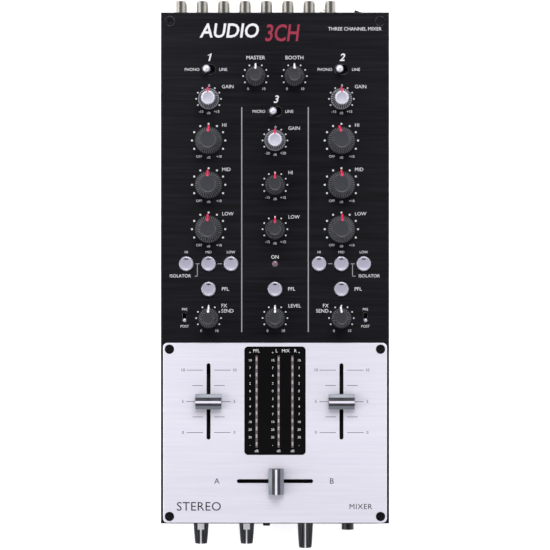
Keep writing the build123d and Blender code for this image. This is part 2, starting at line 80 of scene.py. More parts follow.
def studio_floor():
    bm = bmesh.new()
    bmesh.ops.create_grid(bm, x_segments=8, y_segments=8, size=3.0)
    mesh = bpy.data.meshes.new("studio_floor")
    bm.to_mesh(mesh)
    bm.free()
    floor = bpy.data.objects.new("studio_floor", mesh)
    bpy.context.scene.collection.objects.link(floor)
    material, tree, shader = finish_named("paper_sweep")
    grain = tree.nodes.new("ShaderNodeTexNoise")
    grain.inputs["Scale"].default_value = 90.0
    ramp = tree.nodes.new("ShaderNodeValToRGB")
    ramp.color_ramp.elements[0].color = tone("F4F4F6")
    ramp.color_ramp.elements[1].color = tone("FBFBFC")
    tree.links.new(grain.outputs["Fac"], ramp.inputs["Fac"])
    tree.links.new(ramp.outputs["Color"], shader.inputs["Base Color"])
    shader.inputs["Roughness"].default_value = 0.9
    shader.inputs["Emission Color"].default_value = tone("FFFFFF")
    shader.inputs["Emission Strength"].default_value = 0.55
    floor.data.materials.append(material)
    return floor


def soft_lamp(name, place, target, size, power):
    lamp = bpy.data.lights.new(name, "AREA")
    lamp.shape = "RECTANGLE"
    lamp.size, lamp.size_y = size
    lamp.energy = power
    holder = bpy.data.objects.new(name, lamp)
    holder.location = place
    holder.rotation_euler = (Vector(target) - Vector(place)).to_track_quat("-Z", "Y").to_euler()
    bpy.context.scene.collection.objects.link(holder)


studio_floor()
soft_lamp("far_softbox", (0.15, 1.5, 1.9), (0.0, 0.0, 0.05), (1.6, 1.0), 38.0)
soft_lamp("left_softbox", (-1.7, -0.2, 1.5), (0.0, 0.0, 0.05), (0.8, 1.2), 12.0)
sky = bpy.data.worlds.new("studio_sky")
sky.use_nodes = True
backdrop = sky.node_tree.nodes["Background"]
backdrop.inputs["Color"].default_value = tone("F2F1F6")
direction = sky.node_tree.nodes.new("ShaderNodeTexCoord")
heights = sky.node_tree.nodes.new("ShaderNodeSeparateXYZ")
sky.node_tree.links.new(direction.outputs["Generated"], heights.inputs["Vector"])
canopy = sky.node_tree.nodes.new("ShaderNodeMapRange")
canopy.inputs["From Min"].default_value = 0.72
canopy.inputs["From Max"].default_value = 0.93
canopy.inputs["To Min"].default_value = 1.1
canopy.inputs["To Max"].default_value = 0.08
sky.node_tree.links.new(heights.outputs["Z"], canopy.inputs["Value"])
sky.node_tree.links.new(canopy.outputs["Result"], backdrop.inputs["Strength"])
bpy.context.scene.world = sky
bpy.context.scene.view_settings.view_transform = "Standard"


# The casing: a folded steel channel, closed by a front wall and a rear wall, all in a fine textured
# black powder coat that has rubbed a little thin on its bent edges.
def new_group(name, inputs, outputs):
    """An empty shader group with the sockets it is given."""
    group = bpy.data.node_groups.new(name, "ShaderNodeTree")
    for label, kind, value in inputs:
        socket = group.interface.new_socket(label, in_out="INPUT", socket_type=kind)
        socket.default_value = value
    for label, kind in outputs:
        group.interface.new_socket(label, in_out="OUTPUT", socket_type=kind)
    return group, group.nodes.new("NodeGroupInput"), group.nodes.new("NodeGroupOutput")


def worn_edge_group():
    """Puts out a mask that is 1 on outer edges, broken up by a fine noise."""
    sockets = [("Width", "NodeSocketFloat", 0.0005), ("Amount", "NodeSocketFloat", 0.5)]
    group, given, out = new_group("worn_edge", sockets, [("Mask", "NodeSocketFloat")])
    nodes, links = group.nodes, group.links
    bevel = nodes.new("ShaderNodeBevel")
    links.new(given.outputs["Width"], bevel.inputs["Radius"])
    facing = nodes.new("ShaderNodeNewGeometry")
    dot = nodes.new("ShaderNodeVectorMath")
    dot.operation = "DOT_PRODUCT"
    links.new(bevel.outputs["Normal"], dot.inputs[0])
    links.new(facing.outputs["Normal"], dot.inputs[1])
    edge = nodes.new("ShaderNodeMapRange")
    edge.inputs["From Min"].default_value = 0.995
    edge.inputs["From Max"].default_value = 0.86
    links.new(dot.outputs["Value"], edge.inputs["Value"])
    place = nodes.new("ShaderNodeTexCoord")
    chips = nodes.new("ShaderNodeTexNoise")
    chips.inputs["Scale"].default_value = 700.0
    chips.inputs["Detail"].default_value = 4.0
    links.new(place.outputs["Object"], chips.inputs["Vector"])
    broken = nodes.new("ShaderNodeMapRange")
    broken.inputs["From Min"].default_value = 0.42
    broken.inputs["From Max"].default_value = 0.6
    links.new(chips.outputs["Fac"], broken.inputs["Value"])
    both = nodes.new("ShaderNodeMath")
    both.operation = "MULTIPLY"
    links.new(edge.outputs["Result"], both.inputs[0])
    links.new(broken.outputs["Result"], both.inputs[1])
    scaled = nodes.new("ShaderNodeMath")
    scaled.operation = "MULTIPLY"
    links.new(both.outputs["Value"], scaled.inputs[0])
    links.new(given.outputs["Amount"], scaled.inputs[1])
    links.new(scaled.outputs["Value"], out.inputs["Mask"])
    return group


def fine_texture_group():
    """Puts out a fine orange-peel height and a slow mottle, both from 0 to 1."""
    sockets = [("Peel Scale", "NodeSocketFloat", 1800.0), ("Mottle Scale", "NodeSocketFloat", 30.0)]
    outputs = [("Peel", "NodeSocketFloat"), ("Mottle", "NodeSocketFloat")]
    group, given, out = new_group("fine_texture", sockets, outputs)
    place = group.nodes.new("ShaderNodeTexCoord")
    for label, detail in (("Peel", 2.0), ("Mottle", 5.0)):
        noise = group.nodes.new("ShaderNodeTexNoise")
        noise.inputs["Detail"].default_value = detail
        group.links.new(place.outputs["Object"], noise.inputs["Vector"])
        group.links.new(given.outputs[f"{label} Scale"], noise.inputs["Scale"])
        group.links.new(noise.outputs["Fac"], out.inputs[label])
    return group


WORN_EDGE = worn_edge_group()
FINE_TEXTURE = fine_texture_group()


def placed_group(tree, group, **values):
    """Puts a shared group into a material and sets its numbers."""
    node = tree.nodes.new("ShaderNodeGroup")
    node.node_tree = group
    for label, value in values.items():
        node.inputs[label.replace("_", " ").title()].default_value = value
    return node


def mix_colours(tree, mask, first, second):
    """Mixes two colours, or a colour and another node's colour, by a mask."""
    mix = tree.nodes.new("ShaderNodeMix")
    mix.data_type = "RGBA"
    tree.links.new(mask, mix.inputs["Factor"])
    for socket, colour in ((mix.inputs["A"], first), (mix.inputs["B"], second)):
        if isinstance(colour, tuple):
            socket.default_value = colour
        else:
            tree.links.new(colour, socket)
    return mix.outputs["Result"]


def spread(tree, value, low, high):
    """Stretches a 0 to 1 value to another range."""
    stretch = tree.nodes.new("ShaderNodeMapRange")
    stretch.inputs["To Min"].default_value = low
    stretch.inputs["To Max"].default_value = high
    tree.links.new(value, stretch.inputs["Value"])
    return stretch.outputs["Result"]


def raised(tree, height, strength, depth, before=None):
    """A bump from a height."""
    bump = tree.nodes.new("ShaderNodeBump")
    bump.inputs["Strength"].default_value = strength
    bump.inputs["Distance"].default_value = depth
    tree.links.new(height, bump.inputs["Height"])
    if before is not None:
        tree.links.new(before, bump.inputs["Normal"])
    return bump.outputs["Normal"]


def coated(name, dark, light, roughness, peel_scale, bump, worn=None, worn_amount=0.5, metallic=0.0):
    """A moulded or coated surface: fine peel, slow mottle, and edges worn to another colour."""
    material, tree, shader = finish_named(name)
    texture = placed_group(tree, FINE_TEXTURE, peel_scale=peel_scale, mottle_scale=35.0)
    colour = mix_colours(tree, texture.outputs["Mottle"], tone(dark), tone(light))
    if worn is not None:
        edges = placed_group(tree, WORN_EDGE, width=0.4 * MM, amount=worn_amount)
        colour = mix_colours(tree, edges.outputs["Mask"], colour, tone(worn))
    tree.links.new(colour, shader.inputs["Base Color"])
    shader.inputs["Metallic"].default_value = metallic
    rough = spread(tree, texture.outputs["Mottle"], roughness - 0.06, roughness + 0.06)
    tree.links.new(rough, shader.inputs["Roughness"])
    tree.links.new(raised(tree, texture.outputs["Peel"], bump, 0.05 * MM), shader.inputs["Normal"])
    return material


def dress(node, material):
    """Gives a node of the frame its finish."""
    mesh = frame["nodes"][node].data
    mesh.materials.clear()
    mesh.materials.append(material)


casing_paint = coated("casing_powder_coat", "0D0D0F", "151517", 0.5, 2600.0, 0.35, "55555A", 0.5)
for node in ("base_tray", "front_wall", "rear_wall"):
    dress(node, casing_paint)


# The top panel: thick aluminium, brushed from side to side, anodised black, with bright cut edges
# where the anodising is thin. Screws hold it to the lips of the casing.
def brushed_group():
    """Puts out long scratches that run along X: a height and a colour mask."""
    sockets = [("Length", "NodeSocketFloat", 14.0), ("Fineness", "NodeSocketFloat", 2600.0)]
    outputs = [("Height", "NodeSocketFloat"), ("Streak", "NodeSocketFloat")]
    group, given, out = new_group("brushed_metal", sockets, outputs)
    nodes, links = group.nodes, group.links
    place = nodes.new("ShaderNodeTexCoord")
    for label, share in (("Height", 1.0), ("Streak", 0.3)):
        along = nodes.new("ShaderNodeCombineXYZ")
        fine = nodes.new("ShaderNodeMath")
        fine.operation = "MULTIPLY"
        fine.inputs[1].default_value = share
        links.new(given.outputs["Fineness"], fine.inputs[0])
        links.new(given.outputs["Length"], along.inputs["X"])
        links.new(fine.outputs["Value"], along.inputs["Y"])
        links.new(fine.outputs["Value"], along.inputs["Z"])
        stretched = nodes.new("ShaderNodeVectorMath")
        stretched.operation = "MULTIPLY"
        links.new(place.outputs["Object"], stretched.inputs[0])
        links.new(along.outputs["Vector"], stretched.inputs[1])
        noise = nodes.new("ShaderNodeTexNoise")
        noise.inputs["Scale"].default_value = 1.0
        noise.inputs["Detail"].default_value = 6.0
        noise.inputs["Roughness"].default_value = 0.65
        links.new(stretched.outputs["Vector"], noise.inputs["Vector"])
        links.new(noise.outputs["Fac"], out.inputs[label])
    return group


BRUSHED = brushed_group()


def brushed(name, dark, light, edge, edge_amount, roughness, metallic, bump, sheen=0.5):
    """Brushed aluminium, bare or anodised, with brighter cut edges."""
    material, tree, shader = finish_named(name)
    grain = placed_group(tree, BRUSHED, length=18.0, fineness=1900.0)
    narrow = tree.nodes.new("ShaderNodeMapRange")
    narrow.inputs["From Min"].default_value = 0.3
    narrow.inputs["From Max"].default_value = 0.7
    tree.links.new(grain.outputs["Streak"], narrow.inputs["Value"])
    colour = mix_colours(tree, narrow.outputs["Result"], tone(dark), tone(light))
    edges = placed_group(tree, WORN_EDGE, width=0.45 * MM, amount=edge_amount)
    colour = mix_colours(tree, edges.outputs["Mask"], colour, tone(edge))
    tree.links.new(colour, shader.inputs["Base Color"])
    shader.inputs["Metallic"].default_value = metallic
    rough = spread(tree, grain.outputs["Height"], roughness - 0.1, roughness + 0.1)
    tree.links.new(rough, shader.inputs["Roughness"])
    shader.inputs["Anisotropic"].default_value = 0.4
    shader.inputs["Specular IOR Level"].default_value = sheen
    tree.links.new(raised(tree, grain.outputs["Height"], bump, 0.03 * MM), shader.inputs["Normal"])
    return material


dress("top_panel", brushed("black_anodised_panel", "030304", "15151C", "9A9AA2", 0.9, 0.4, 0.0, 0.4, 0.16))


# The fader plate: a second aluminium plate laid over the front of the panel, brushed and clear
# anodised, with a bright chamfer all round and a cut-out for the meter.
dress("fader_plate", brushed("silver_brushed_plate", "DAD8E4", "E3E1EB", "FAF9FD", 1.0, 0.45, 0.3, 0.12))


# The panel screws: black countersunk screws with a cross recess, in bright countersunk rims.
black_screw = coated("black_oxide_screw", "141416", "1E1E22", 0.34, 3000.0, 0.15, "77777C", 0.6, 0.7)
dress("panel_screws", black_screw)


# The meter: a gloss black acrylic window let into the plate, with a slot over each of three columns of
# twelve smoked lamps that stand on a board of their own.
def gloss(name, colour, roughness, coat=0.0, metallic=0.0, smear=0.08):
    """A glossy moulding with faint smears in its polish."""
    material, tree, shader = finish_named(name)
    texture = placed_group(tree, FINE_TEXTURE, peel_scale=900.0, mottle_scale=60.0)
    light = tuple(min(1.0, c * 1.25 + 0.002) for c in tone(colour)[:3]) + (1.0,)
    body = mix_colours(tree, texture.outputs["Mottle"], tone(colour), light)
    tree.links.new(body, shader.inputs["Base Color"])
    rough = spread(tree, texture.outputs["Mottle"], roughness, roughness + smear)
    tree.links.new(rough, shader.inputs["Roughness"])
    shader.inputs["Coat Weight"].default_value = coat
    shader.inputs["Metallic"].default_value = metallic
    tree.links.new(raised(tree, texture.outputs["Peel"], 0.08, 0.02 * MM), shader.inputs["Normal"])
    return material


def add_block(bm, low, high, bevel=0.0, slot=0):
    """Adds one block between two corners, its edges broken by a bevel."""
    low, high = Vector(low), Vector(high)
    place = Matrix.Translation((low + high) / 2) @ Matrix.Diagonal((*(high - low), 1.0))
    made = bmesh.ops.create_cube(bm, size=1.0, matrix=place)["verts"]
    for face in {face for vert in made for face in vert.link_faces}:
        face.material_index = slot
    if bevel > 0.0:
        edges = list({edge for vert in made for edge in vert.link_edges})
        bmesh.ops.bevel(bm, geom=edges, offset=bevel, segments=2, profile=0.6, affect="EDGES", material=-1)


def add_turned(bm, outline, steps, place=None, slots=None, closed=False):
    """Adds a turned shape. Each point is (radius, height) or (radius, height, groove depths by step).

    A radius may be a pair, (half the width over flats, sides), for a square or hexagonal stretch. The
    outline starts and ends on the axis, or it is a closed loop away from it.
    """
    place = place or Matrix.Identity(4)
    rings = []
    for radius, height, *groove in outline:
        if radius == 0.0:
            rings.append([bm.verts.new(place @ Vector((0.0, 0.0, height)))])
            continue
        ring = []
        for step in range(steps):
            turn = 2 * math.pi * step / steps
            reach = radius
            if isinstance(radius, tuple):
                sector = 2 * math.pi / radius[1]
                reach = radius[0] / math.cos((turn + sector / 2) % sector - sector / 2)
            if groove:
                reach -= groove[0] * (0.5 - 0.5 * math.cos(turn * groove[1]))
            point = Vector((reach * math.sin(turn), reach * math.cos(turn), height))
            ring.append(bm.verts.new(place @ point))
        rings.append(ring)
    following = rings[1:] + ([rings[0]] if closed else [])
    for index, (lower, upper) in enumerate(zip(rings, following)):
        for step in range(steps):
            after = (step + 1) % steps
            corners = [lower[step % len(lower)], upper[step % len(upper)], upper[after % len(upper)]]
            corners.append(lower[after % len(lower)])
            face = bm.faces.new(list(dict.fromkeys(corners)))
            face.material_index = slots[index] if slots else 0


def add_raised(bm, outline, thick, place, bevel=0.0, slot=0):
    """Adds a flat outline given in its own X and Y, raised by half its thickness to each side."""
    corners = [bm.verts.new(place @ Vector((x, y, -thick / 2))) for x, y in outline]
    face = bm.faces.new(corners)
    grown = bmesh.ops.extrude_face_region(bm, geom=[face])["geom"]
    top = [item for item in grown if isinstance(item, bmesh.types.BMVert)]
    rise = place.to_3x3() @ Vector((0.0, 0.0, thick))
    bmesh.ops.translate(bm, verts=top, vec=rise)
    faces = {f for vert in corners + top for f in vert.link_faces}
    for face in faces:
        face.material_index = slot
    if bevel > 0.0:
        edges = list({edge for f in faces for edge in f.edges})
        bmesh.ops.bevel(bm, geom=edges, offset=bevel, segments=2, profile=0.6, affect="EDGES", material=-1)


def finished_mesh(name, bm, materials, crease):
    """Turns a bmesh into a smooth mesh that is sharp at its creases."""
    bmesh.ops.recalc_face_normals(bm, faces=bm.faces)
    mesh = bpy.data.meshes.new(name)
    bm.to_mesh(mesh)
    bm.free()
    for material in materials:
        mesh.materials.append(material)
    mesh.shade_smooth()
    mesh.set_sharp_from_angle(angle=math.radians(crease))
    return mesh


def piece(name, bm, materials, body, crease=35.0):
    """Turns a bmesh into a named piece that rides on a body."""
    made = bpy.data.objects.new(name, finished_mesh(name, bm, materials, crease))
    bpy.context.scene.collection.objects.link(made)
    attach(made, body)
    return made


def on_panel(x, y, z):
    """A place given in millimetres from the panel's middle, at a height in metres."""
    return Vector((panel_x + x * MM, panel_y + y * MM, z))


BAR_XS = (-12.8, 2.5, 12.1)
BAR_Y = -92.7
BAR_LENGTH = 64.0
LAMPS = 12
green_board = coated("green_board", "0E2A16", "163A20", 0.4, 1500.0, 0.1)
window_black = gloss("meter_window_acrylic", "030304", 0.1, coat=0.2)
dress("meter_window", window_black)
lamp_case = coated("lamp_case", "5C5250", "6A5F5D", 0.5, 2500.0, 0.1)
lamp_smoked = gloss("smoked_lamp", "A4979A", 0.3)
lamp_low, lamp_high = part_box("meter_lamps")
bm = bmesh.new()
add_block(bm, lamp_low, (lamp_high.x, lamp_high.y, lamp_low.z + 1.6 * MM), 0.2 * MM, 2)
for x in BAR_XS:
    foot, head = on_panel(x - 1.7, BAR_Y - 33.0, lamp_low.z), on_panel(x + 1.7, BAR_Y + 33.0, panel_z)
    add_block(bm, foot, head - Vector((0, 0, 0.3 * MM)), 0.2 * MM)
    foot = on_panel(x - 0.72, BAR_Y - BAR_LENGTH / 2, panel_z - 1.0 * MM)
    head = on_panel(x + 0.72, BAR_Y + BAR_LENGTH / 2, lamp_high.z - 0.15 * MM)
    add_block(bm, foot, head, 0.0)
    pitch = BAR_LENGTH / LAMPS
    for step in range(LAMPS):
        middle = BAR_Y + BAR_LENGTH / 2 - (step + 0.5) * pitch
        foot = on_panel(x - 0.6, middle - pitch * 0.24, lamp_high.z - 1.2 * MM)
        head = on_panel(x + 0.6, middle + pitch * 0.24, lamp_high.z)
        add_block(bm, foot, head, 0.12 * MM, 1)
lamps = piece("meter_lamp_columns", bm, [lamp_case, lamp_smoked, green_board], "root")
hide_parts("meter_lamps")


# The printed legends: screen-printed ink a few hundredths thick. White on the black panel and on the
# meter window, one crimson word, and grey on the silver plate. The words only say what a control does.
def letter_share():
    """How tall a capital is for a type size of 1."""
    words = bpy.data.curves.new("measure", "FONT")
    words.body = "H"
    holder = bpy.data.objects.new("measure", words)
    bpy.context.scene.collection.objects.link(holder)
    bpy.context.view_layer.update()
    share = holder.dimensions.y
    bpy.data.objects.remove(holder)
    bpy.data.curves.remove(words)
    return share


CAPITAL = letter_share()
INK = 0.03 * MM


def lettering(words, x, y, cap, align="CENTER", bold=0.0, slant=0.0, spacing=1.0, stretch=1.0):
    """One word as a curve object lying flat: its place and capital height are in millimetres."""
    curve = bpy.data.curves.new("legend", "FONT")
    curve.body = words
    curve.size = cap * MM / CAPITAL
    curve.align_x = align
    curve.align_y = "CENTER"
    curve.offset = bold * cap * MM
    curve.shear = slant
    curve.space_character = spacing
    curve.extrude = INK / 2
    curve.resolution_u = 3
    holder = bpy.data.objects.new("legend", curve)
    holder.location = (x * MM, y * MM, 0.0)
    holder.scale.x = stretch
    bpy.context.scene.collection.objects.link(holder)
    return holder


def add_words(bm, holders, place):
    """Melts the words into a mesh at a place, and removes their curves."""
    bpy.context.view_layer.update()
    graph = bpy.context.evaluated_depsgraph_get()
    for holder in holders:
        mesh = bpy.data.meshes.new_from_object(holder.evaluated_get(graph))
        mesh.transform(place @ holder.matrix_world)
        bm.from_mesh(mesh)
        bpy.data.meshes.remove(mesh)
        bpy.data.curves.remove(holder.data)
    bmesh.ops.remove_doubles(bm, verts=bm.verts, dist=0.002 * MM)


def add_stroke(bm, x, y, wide, tall, place):
    """A printed rule or scale mark."""
    corners = [(-wide / 2, -tall / 2), (wide / 2, -tall / 2), (wide / 2, tall / 2), (-wide / 2, tall / 2)]
    outline = [((x + u) * MM, (y + v) * MM) for u, v in corners]
    add_raised(bm, outline, INK, place)


def add_dot(bm, x, y, radius, place, sides=20):
    """A printed dot."""
    turns = [2 * math.pi * step / sides for step in range(sides)]
    outline = [((x + radius * math.cos(t)) * MM, (y + radius * math.sin(t)) * MM) for t in turns]
    add_raised(bm, outline, INK, place)


def ink(name, colour):
    """Screen ink: nearly flat, with the slight unevenness of the mesh it was pulled through."""
    return coated(name, colour, colour, 0.55, 5200.0, 0.12)


def printed_on(z):
    """Where ink lies on a level surface."""
    return Matrix.Translation(Vector((panel_x, panel_y, z + INK / 2)))


CHANNEL_X = 46.1
OUTPUT_X = 13.5
ROW_Y = {"gain": 117.4, "high": 88.5, "mid": 57.7, "low": 26.9, "send": -34.8}
DIAL_STEPS = range(-120, 121, 30)
white_ink = ink("white_ink", "D2D2D4")
on_black = printed_on(panel_z)
bm = bmesh.new()
words = []


def dial_marks(x, y, ring, radius, skip_top=False):
    """The dots round one knob."""
    for turn in DIAL_STEPS:
        if turn == 0 and skip_top:
            continue
        angle = math.radians(turn)
        add_dot(bm, x + ring * math.sin(angle), y + ring * math.cos(angle), radius, on_black)


def large_dial(x, y, name):
    """Dots and words of a large tone knob."""
    dial_marks(x, y, 11.55, 0.7)
    words.append(lettering(name, x + 9.2, y + 10.6, 2.35, "LEFT"))
    words.append(lettering("OFF", x - 6.6, y - 11.2, 1.65))
    words.append(lettering("dB", x, y - 11.9, 1.65))
    words.append(lettering("+10", x + 7.2, y - 11.2, 1.65))


def small_dial(x, y, name, low, high, unit=None, zero=None):
    """Dots and words of a small knob."""
    dial_marks(x, y, 8.6, 0.55, skip_top=zero is not None)
    if name:
        words.append(lettering(name, x + 9.1, y + 8.4, 2.35, "LEFT"))
    words.append(lettering(low, x - 5.2, y - 8.9, 1.75))
    words.append(lettering(high, x + 5.6, y - 8.9, 1.75))
    if unit:
        words.append(lettering(unit, x, y - 9.9, 1.65))
    if zero:
        words.append(lettering(zero, x + 0.4, y + 9.2, 1.7))


for number, x in (("1", -CHANNEL_X), ("2", CHANNEL_X)):
    words.append(lettering(number, x + 0.4, 146.0, 4.9, bold=0.03, slant=0.25))
    if number == "1":
        flag = [(-0.9, 1.3), (0.3, 1.8), (1.3, 2.4), (0.7, 2.4), (-0.8, 1.9)]
        add_raised(bm, [((x + 0.3 + u) * MM, (146.0 + v) * MM) for u, v in flag], INK, on_black)
    small_dial(x, ROW_Y["gain"], "GAIN", "-15", "+15", "dB", "0")
    for row, name in (("high", "HI"), ("mid", "MID"), ("low", "LOW")):
        large_dial(x, ROW_Y[row], name)
    small_dial(x, ROW_Y["send"], None, "0", "10")
    words.append(lettering("PHONO", x - 6.3, 137.7, 1.95, "RIGHT"))
    words.append(lettering("LINE", x + 7.2, 137.7, 1.95, "LEFT"))
    for step, name in enumerate(("HI", "MID", "LOW")):
        words.append(lettering(name, x + (step - 1) * 15.5, 10.9, 1.7))
    words.append(lettering("PFL", x + 9.0, -14.7, 2.4, "LEFT"))
words.append(lettering("3", 0.5, 116.9, 4.9, bold=0.03, slant=0.25))
words.append(lettering("MICRO", -6.7, 108.6, 1.95, "RIGHT"))
words.append(lettering("LINE", 7.0, 108.6, 1.95, "LEFT"))
small_dial(0.0, ROW_Y["high"], "GAIN", "-20", "+20", "dB", "0")
small_dial(0.0, ROW_Y["mid"], "HI", "-15", "+15", "dB")
small_dial(0.0, ROW_Y["low"], "LOW", "-15", "+15", "dB")
small_dial(0.0, ROW_Y["send"], "LEVEL", "0", "10")
words.append(lettering("ON", 0.0, 7.5, 2.4))
words.append(lettering("PFL", 8.9, -14.7, 2.4, "LEFT"))
for x, name in ((-OUTPUT_X, "MASTER"), (OUTPUT_X, "BOOTH")):
    small_dial(x, 133.2, None, "0", "10")
    words.append(lettering(name, x, 145.9, 2.5))
words.append(lettering("FX", -37.4, -26.3, 2.4, "LEFT"))
words.append(lettering("SEND", -37.4, -29.9, 2.4, "LEFT"))
words.append(lettering("FX", 37.2, -26.3, 2.4, "RIGHT"))
words.append(lettering("SEND", 37.2, -29.9, 2.4, "RIGHT"))
for side in (-1, 1):
    words.append(lettering("PRE", side * 62.8, -28.8, 1.65))
    words.append(lettering("POST", side * 62.8, -40.6, 1.7))
    word_x = -65.8 if side < 0 else 65.4
    words.append(lettering("ISOLATOR", word_x, -5.6, 2.15))
words.append(lettering("AUDIO", -52.0, 164.3, 9.4, "LEFT", bold=0.025, slant=0.15, stretch=0.92))
words.append(lettering("THREE CHANNEL MIXER", 74.0, 165.9, 2.3, "RIGHT"))
add_words(bm, words, on_black)
legends = piece("panel_legends", bm, [white_ink], "root")

silver_ink = ink("silver_ink", "8E8E94")
bm = bmesh.new()
for side in (-1, 1):
    add_stroke(bm, side * 23.1, 33.6, 0.75, 156.2, on_black)
    near, stem, foot = (-53.7, -53.9, -54.7) if side < 0 else (54.0, 53.8, 54.9)
    add_stroke(bm, near, 2.9, 2.7, 0.5, on_black)
    add_stroke(bm, side * 38.4, 2.9, 3.0, 0.5, on_black)
    add_stroke(bm, stem, -1.5, 0.5, 8.8, on_black)
    add_stroke(bm, foot, -5.7, 2.0, 0.5, on_black)
rules = piece("panel_rules", bm, [silver_ink], "root")

crimson_ink = ink("crimson_ink", "8A0A32")
bm = bmesh.new()
words = [lettering("3CH", -7.5, 162.6, 11.2, "LEFT", bold=0.02, slant=0.15, stretch=0.76)]
add_words(bm, words, on_black)
headline = piece("panel_headline", bm, [crimson_ink], "root")

METER_LEVELS = ("+", "10", "7", "4", "2", "0", "2", "4", "7", "10", "20", "30", "-")
window_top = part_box("meter_window")[1].z
on_window = printed_on(window_top)
bm = bmesh.new()
words = []
for x in (-17.3, -1.6, 16.7):
    for step, level in enumerate(METER_LEVELS):
        words.append(lettering(level, x, -58.8 - step * 5.34, 1.6))
for x in BAR_XS:
    words.append(lettering("dB", x, -127.0, 1.7))
for name, x in (("PFL", -12.9), ("L", 1.1), ("MIX", 7.4), ("R", 14.1)):
    words.append(lettering(name, x, -57.6, 2.2))
add_words(bm, words, on_window)
meter_legends = piece("meter_legends", bm, [white_ink], "root")

FADER_Y = -92.6
plate_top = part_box("fader_plate")[1].z
on_plate = printed_on(plate_top)
grey_ink = ink("grey_ink", "2C2C34")
dark_ink = ink("dark_ink", "101014")
bm = bmesh.new()
words = []
for x in (-CHANNEL_X, CHANNEL_X):
    for y, reach in ((21.7, 15.3), (11.0, 11.2), (-0.1, 15.3), (-10.7, 11.2), (-21.6, 15.3)):
        for side in (-1, 1):
            add_stroke(bm, x + side * (3.9 + reach) / 2, FADER_Y + y, reach - 3.9, 0.35, on_plate)
    for y, level in ((21.7, "10"), (-0.1, "5"), (-21.6, "0")):
        for side in (-17.8, 18.0):
            words.append(lettering(level, x + side, FADER_Y + y, 2.0))
words.append(lettering("A", -40.3, -148.0, 3.8))
words.append(lettering("B", 39.3, -148.0, 3.8))
add_words(bm, words, on_plate)
scales = piece("fader_scales", bm, [grey_ink], "root")
bm = bmesh.new()
words = [lettering("STEREO", -68.4, -165.7, 5.9, "LEFT", spacing=1.05)]
words.append(lettering("MIXER", 67.4, -165.7, 3.6, "RIGHT", spacing=1.1))
add_words(bm, words, on_plate)
plate_words = piece("plate_words", bm, [dark_ink], "root")


# The knobs: moulded, with a skirt, a fluted body, a dished top and an inlaid pointer that runs down to
# the skirt. Each is pushed on the shaft of its pot. The tone knobs are large, the gain knobs are silver.
def flute_group():
    """Puts out 1 on the ridges of a fluted body that is turned about its own Z, and 0 in the grooves."""
    sockets = [("Count", "NodeSocketFloat", 24.0)]
    group, given, out = new_group("flutes", sockets, [("Ridge", "NodeSocketFloat")])
    nodes, links = group.nodes, group.links
    place = nodes.new("ShaderNodeTexCoord")
    split = nodes.new("ShaderNodeSeparateXYZ")
    links.new(place.outputs["Object"], split.inputs["Vector"])
    angle = nodes.new("ShaderNodeMath")
    angle.operation = "ARCTAN2"
    links.new(split.outputs["X"], angle.inputs[0])
    links.new(split.outputs["Y"], angle.inputs[1])
    turned = nodes.new("ShaderNodeMath")
    turned.operation = "MULTIPLY"
    links.new(angle.outputs["Value"], turned.inputs[0])
    links.new(given.outputs["Count"], turned.inputs[1])
    wave = nodes.new("ShaderNodeMath")
    wave.operation = "COSINE"
    links.new(turned.outputs["Value"], wave.inputs[0])
    level = nodes.new("ShaderNodeMapRange")
    level.inputs["From Min"].default_value = 0.25
    level.inputs["From Max"].default_value = 0.85
    links.new(wave.outputs["Value"], level.inputs["Value"])
    links.new(level.outputs["Result"], out.inputs["Ridge"])
    return group


FLUTES = flute_group()


def fluted(name, groove, ridge, count, roughness, metallic=0.0):
    """The finish of a fluted body, with painted highlights on its ridges and painted shade in its grooves."""
    material, tree, shader = finish_named(name)
    flutes = placed_group(tree, FLUTES, count=count)
    texture = placed_group(tree, FINE_TEXTURE, peel_scale=3500.0, mottle_scale=120.0)
    colour = mix_colours(tree, flutes.outputs["Ridge"], tone(groove), tone(ridge))
    tree.links.new(colour, shader.inputs["Base Color"])
    rough = spread(tree, texture.outputs["Mottle"], roughness - 0.08, roughness + 0.1)
    tree.links.new(rough, shader.inputs["Roughness"])
    shader.inputs["Metallic"].default_value = metallic
    tree.links.new(raised(tree, texture.outputs["Peel"], 0.12, 0.03 * MM), shader.inputs["Normal"])
    return material


def knob_outline(size, gap, wall, count):
    """The turned outline of a knob, from the end of its shaft up to the middle of its top."""
    skirt, low_body, high_body, face, tall, _ = size
    top = gap + tall
    rows = [
        (0.0, -wall - 3.5),
        (3.0, -wall - 3.5),
        (3.0, gap + 2.3),
        (5.0, gap + 2.3),
        (5.0, gap),
        (skirt - 0.3, gap),
        (skirt, gap + 0.3),
        (skirt, gap + 0.8),
        (skirt - 0.2, gap + 1.0),
        (low_body + 0.3, gap + 1.9),
        (low_body + 0.1, gap + 2.2, 0.4),
        (low_body - 0.1, gap + 2.8, 0.7),
        (low_body * 0.5 + high_body * 0.5, gap + tall * 0.55, 0.75),
        (high_body + 0.05, top - 1.6, 0.7),
        (high_body - 0.1, top - 1.0, 0.5),
        (face + 0.7, top - 0.3, 0.25),
        (face + 0.3, top),
        (face, top),
        (face - 0.35, top - 0.2),
        (face - 0.7, top - 0.5),
        (0.0, top - 0.65),
    ]
    return [(r * MM, z * MM, *((d[0] * MM, count) if d else ())) for r, z, *d in rows]


def pointer_outline(size, gap):
    """The side view of the pointer, from the axis outwards and upwards."""
    skirt, low_body, high_body, face, tall, _ = size
    top = gap + tall
    rows = [
        (face, top - 2.0),
        (face, top + 0.1),
        (face + 0.5, top + 0.1),
        (high_body + 0.5, top - 1.2),
        (low_body + 0.4, gap + 2.7),
        (skirt + 0.8, gap + 1.3),
        (skirt + 0.8, gap + 0.5),
        (low_body - 0.5, gap + 0.5),
    ]
    return [(r * MM, z * MM) for r, z in rows]


